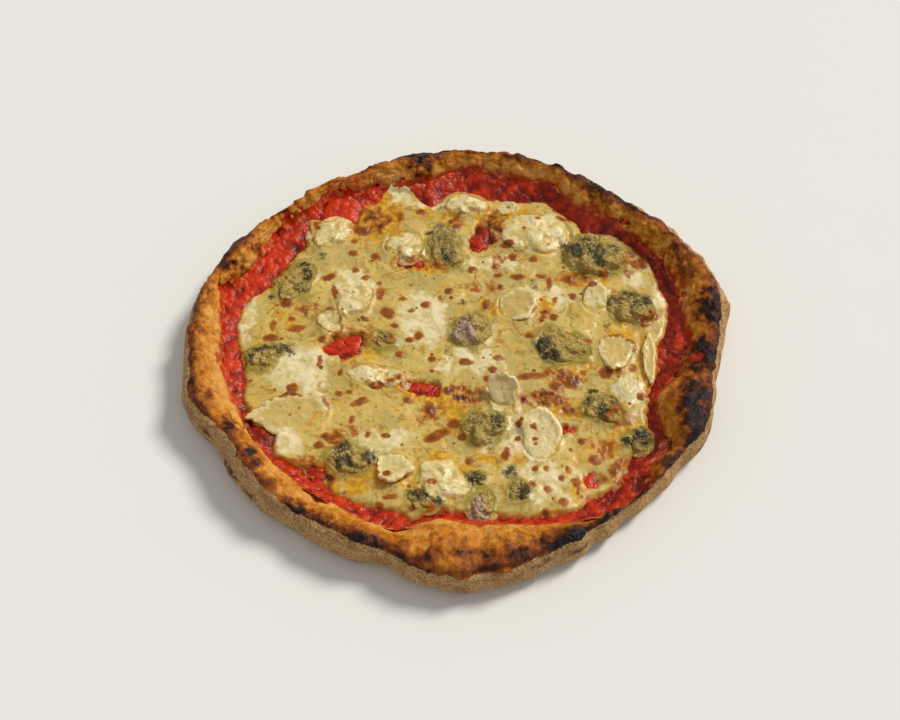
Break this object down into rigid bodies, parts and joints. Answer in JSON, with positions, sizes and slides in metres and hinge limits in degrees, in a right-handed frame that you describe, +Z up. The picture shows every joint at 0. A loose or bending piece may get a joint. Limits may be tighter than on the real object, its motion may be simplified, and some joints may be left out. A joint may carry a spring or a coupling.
{
  "type": "four cheese pizza",
  "caption": "Whole round pizza with a blistered, partly charred rim, tomato sauce, melted cheese, blue cheese crumbles and soft cheese slices.",
  "frame": {"origin": "middle of the flat underside of the crust", "axes": "+X to the right in the picture, +Y away from the camera, +Z up"},
  "size_m": [0.3019, 0.2866, 0.026],
  "materials": {
    "baked_dough": "baked dough, golden brown with pale flour and black char, matt",
    "tomato_sauce": "cooked tomato sauce, wet and pulpy",
    "melted_cheese": "melted cheese with toasted spots, oily gloss",
    "blue_cheese": "blue cheese with dark green mould, crumbly and half melted",
    "soft_cheese": "soft cheese, creamy, toasted along its edges"
  },
  "bodies": {
    "root": {"crust": "baked_dough", "tomato_sauce": "tomato_sauce", "melted_cheese": "melted_cheese", "blue_cheese_01": "blue_cheese", "blue_cheese_02": "blue_cheese", "blue_cheese_03": "blue_cheese", "blue_cheese_04": "blue_cheese", "blue_cheese_05": "blue_cheese", "blue_cheese_06": "blue_cheese", "blue_cheese_07": "blue_cheese", "blue_cheese_08": "blue_cheese", "blue_cheese_09": "blue_cheese", "blue_cheese_10": "blue_cheese", "blue_cheese_11": "blue_cheese", "blue_cheese_12": "blue_cheese", "blue_cheese_13": "blue_cheese", "blue_cheese_14": "blue_cheese", "blue_cheese_15": "blue_cheese", "blue_cheese_16": "blue_cheese", "soft_slice_01": "soft_cheese", "soft_slice_02": "soft_cheese", "soft_slice_03": "soft_cheese", "soft_slice_04": "soft_cheese", "soft_slice_05": "soft_cheese", "soft_slice_06": "soft_cheese", "soft_slice_07": "soft_cheese", "soft_slice_08": "soft_cheese", "soft_slice_09": "soft_cheese", "soft_slice_10": "soft_cheese", "soft_slice_11": "soft_cheese", "soft_curd_01": "soft_cheese", "soft_curd_02": "soft_cheese", "soft_curd_03": "soft_cheese", "soft_curd_04": "soft_cheese", "soft_curd_05": "soft_cheese", "soft_curd_06": "soft_cheese", "soft_curd_07": "soft_cheese"}
  },
  "joints": []
}
